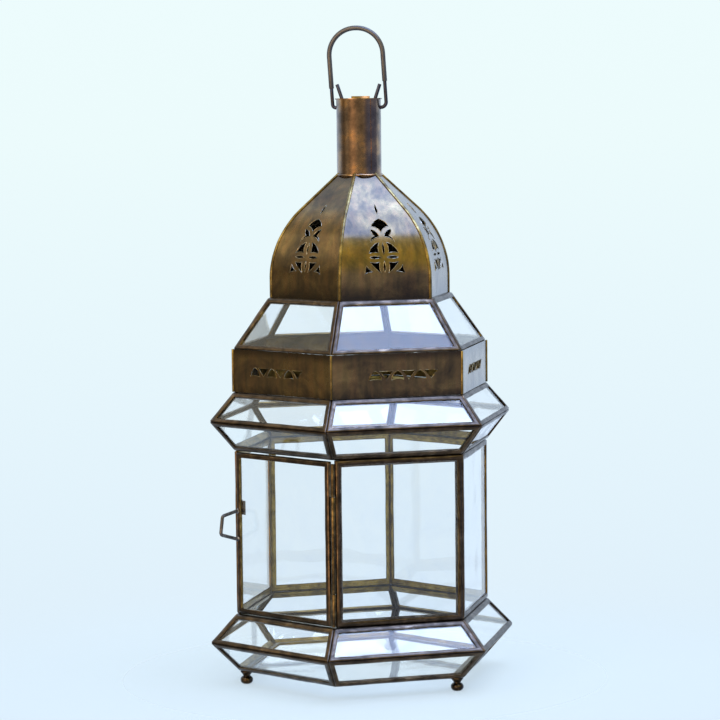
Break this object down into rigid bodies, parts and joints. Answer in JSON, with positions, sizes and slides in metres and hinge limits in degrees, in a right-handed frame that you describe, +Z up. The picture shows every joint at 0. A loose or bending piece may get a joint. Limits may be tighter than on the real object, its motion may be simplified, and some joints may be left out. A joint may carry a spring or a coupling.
{
  "type": "hanging lantern",
  "caption": "Hexagonal hanging lantern of brass and clear glass, with a pierced dome, an open neck with a swinging bail, flared glass bands, a hinged door and ball feet.",
  "frame": {"origin": "on the lantern's axis, on the plane under its feet", "axes": "+Z up; -Y out through the door's face; +X to the right of the door, on its hinge side"},
  "size_m": [0.2436, 0.2118, 0.4947],
  "materials": {
    "aged_brass_sheet": "aged, satin",
    "came_brass": "aged, satin",
    "solder_seam": "bright, rubbed",
    "hinge_brass": "aged, satin",
    "turned_brass": "aged, satin",
    "brass_wire": "aged, satin",
    "brass_tube": "aged, dull",
    "iron_wire": "dark, dull",
    "clear_glass": "clear, polished"
  },
  "bodies": {
    "shell": {"ball_foot_0": "turned_brass", "ball_foot_1": "turned_brass", "ball_foot_2": "turned_brass", "dome_gore_0": "aged_brass_sheet", "dome_gore_1": "aged_brass_sheet", "dome_gore_2": "aged_brass_sheet", "dome_gore_3": "aged_brass_sheet", "dome_gore_4": "aged_brass_sheet", "dome_gore_5": "aged_brass_sheet", "dome_seam_0": "solder_seam", "dome_seam_1": "solder_seam", "dome_seam_2": "solder_seam", "dome_seam_3": "solder_seam", "dome_seam_4": "solder_seam", "dome_seam_5": "solder_seam", "door_stop": "came_brass", "fixed_knuckle": "hinge_brass", "floor_cames": "came_brass", "floor_pane": "clear_glass", "hinge_pin": "hinge_brass", "lower_base_cames": "came_brass", "lower_base_panes": "clear_glass", "lower_shoulder_cames": "came_brass", "lower_shoulder_panes": "clear_glass", "neck_tube": "aged_brass_sheet", "pierced_band_seams": "solder_seam", "pierced_panel_0": "aged_brass_sheet", "pierced_panel_1": "aged_brass_sheet", "pierced_panel_2": "aged_brass_sheet", "pierced_panel_3": "aged_brass_sheet", "pierced_panel_4": "aged_brass_sheet", "pierced_panel_5": "aged_brass_sheet", "roof_cames": "came_brass", "roof_panes": "clear_glass", "side_came_1": "came_brass", "side_came_2": "came_brass", "side_came_3": "came_brass", "side_came_4": "came_brass", "side_came_5": "came_brass", "side_pane_1": "clear_glass", "side_pane_2": "clear_glass", "side_pane_3": "clear_glass", "side_pane_4": "clear_glass", "side_pane_5": "clear_glass", "upper_base_cames": "came_brass", "upper_base_panes": "clear_glass", "upper_shoulder_cames": "came_brass", "upper_shoulder_panes": "clear_glass"},
    "door": {"door_came": "came_brass", "door_pane": "clear_glass", "door_handle": "brass_wire", "door_knuckle_top": "hinge_brass", "door_knuckle_bottom": "hinge_brass"},
    "bail": {"bail_wire": "iron_wire", "bail_sleeve": "brass_tube"}
  },
  "joints": [
    {"name": "door_swing", "type": "hinge", "parent": "shell", "child": "door", "pos_m": [0.05, -0.0866, 0.11575], "axis": [0, 0, 1], "range_deg": [0, 160]},
    {"name": "bail_swing", "type": "hinge", "parent": "shell", "child": "bail", "pos_m": [0, 0, 0.43321], "axis": [0.866, 0.5, 0], "range_deg": [-35, 35]}
  ]
}
